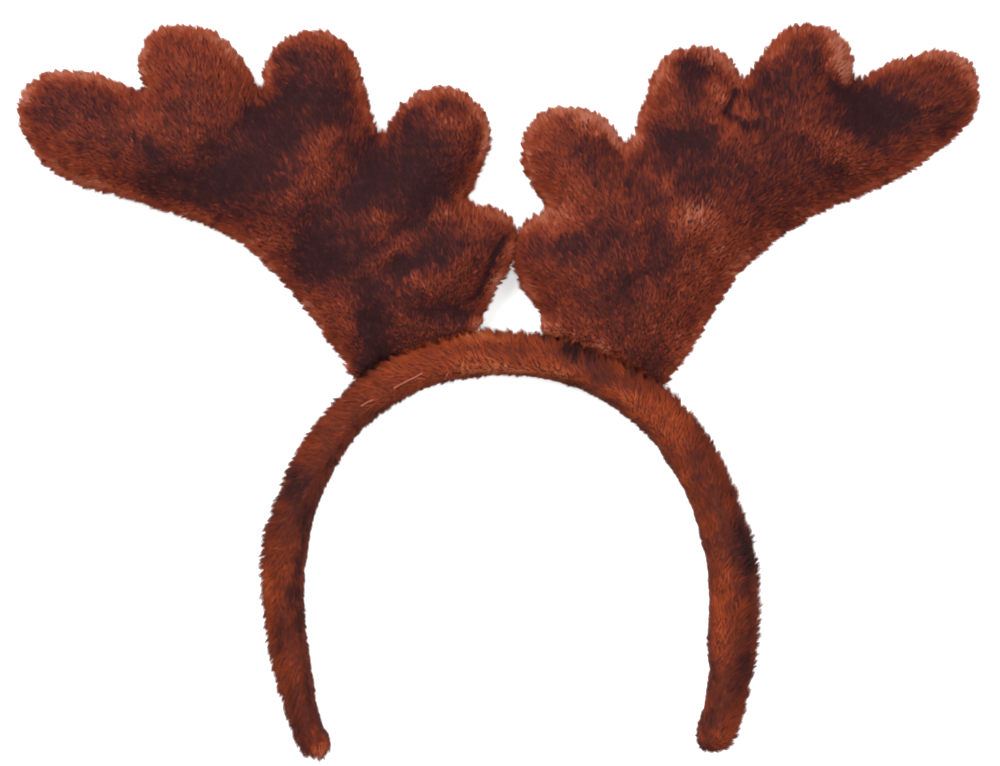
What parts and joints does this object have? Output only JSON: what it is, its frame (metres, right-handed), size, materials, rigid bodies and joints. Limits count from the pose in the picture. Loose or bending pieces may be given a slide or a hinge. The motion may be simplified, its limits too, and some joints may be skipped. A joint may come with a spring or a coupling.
{
  "type": "reindeer antler headband",
  "caption": "Brown plush hair band, an open arch, with two stuffed plush reindeer antlers with rounded tines sewn onto its crown, lying on its back.",
  "frame": {"origin": "middle of the bounding box, at the level of the surface that the headband lies on", "axes": "+Z out of the front of the headband, which lies on its back; +Y from the ends of the band to its crown; +X to the right of someone who looks at the front"},
  "size_m": [0.3242, 0.2488, 0.0281],
  "materials": {
    "band_plush": "matt",
    "antler_plush": "matt"
  },
  "bodies": {
    "root": {"band_sleeve": "band_plush", "antler_left_front": "antler_plush", "antler_left_back": "antler_plush", "antler_right_front": "antler_plush", "antler_right_back": "antler_plush"}
  },
  "joints": []
}
